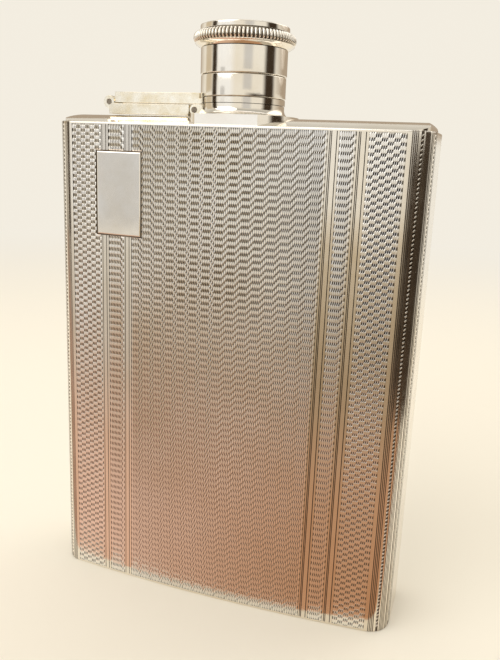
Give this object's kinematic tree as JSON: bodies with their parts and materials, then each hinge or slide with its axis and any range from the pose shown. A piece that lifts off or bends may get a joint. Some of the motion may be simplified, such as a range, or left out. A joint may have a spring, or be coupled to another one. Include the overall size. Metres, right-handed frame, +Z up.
{
  "type": "hip flask",
  "caption": "Curved silver hip flask with engine-turned faces and a captive quarter-turn cap on a folding two-hinge arm.",
  "frame": {"origin": "centre of the base's bounding box, on the surface the flask stands on", "axes": "+Z up along the neck, +Y from the curved front to the hollow back, +X to the side away from the folding arm"},
  "size_m": [0.0802, 0.0226, 0.1249],
  "materials": {
    "engine_turned_silver": "engine-turned silver with polished borders",
    "polished_silver": "polished silver with fine wear",
    "inner_silver": "plain silver, dull from the lathe",
    "hinge_pin": "dark drawn wire",
    "cork": "fine-grained cork"
  },
  "bodies": {
    "flask": {"front_shell": "engine_turned_silver", "back_shell": "engine_turned_silver", "top_plate": "polished_silver", "base_plate": "polished_silver", "neck_collar": "polished_silver", "neck_tube": "inner_silver", "mouth_rim": "inner_silver", "stud_front": "inner_silver", "stud_back": "inner_silver", "hinge_bracket": "polished_silver", "neck_hinge_pin": "hinge_pin"},
    "lower_arm": {"lower_leaf": "polished_silver", "outer_hinge_pin": "hinge_pin"},
    "upper_arm": {"upper_leaf": "polished_silver", "swivel_ring": "polished_silver"},
    "cap": {"bayonet_sleeve": "inner_silver", "retaining_lip": "inner_silver", "cap_band": "polished_silver", "cap_barrel": "polished_silver", "milled_rim": "polished_silver", "cap_top_disc": "polished_silver", "cork_cup": "inner_silver", "cork_seal": "cork"}
  },
  "joints": [
    {"name": "neck_hinge", "type": "hinge", "parent": "flask", "child": "lower_arm", "pos_m": [-0.00985, -0.00084, 0.1081], "axis": [0, 1, 0], "range_deg": [0, 45]},
    {"name": "outer_hinge", "type": "hinge", "parent": "lower_arm", "child": "upper_arm", "pos_m": [-0.03, -0.00084, 0.10945], "axis": [0, -1, 0], "range_deg": [0, 180]},
    {"name": "cap_turn", "type": "hinge", "parent": "upper_arm", "child": "cap", "pos_m": [0, -0.00084, 0.1098], "axis": [0, 0, 1], "range_deg": [0, 90]}
  ],
  "couplings": [
    {"joint": "neck_hinge", "follows": "outer_hinge", "ratio": 0.25}
  ]
}
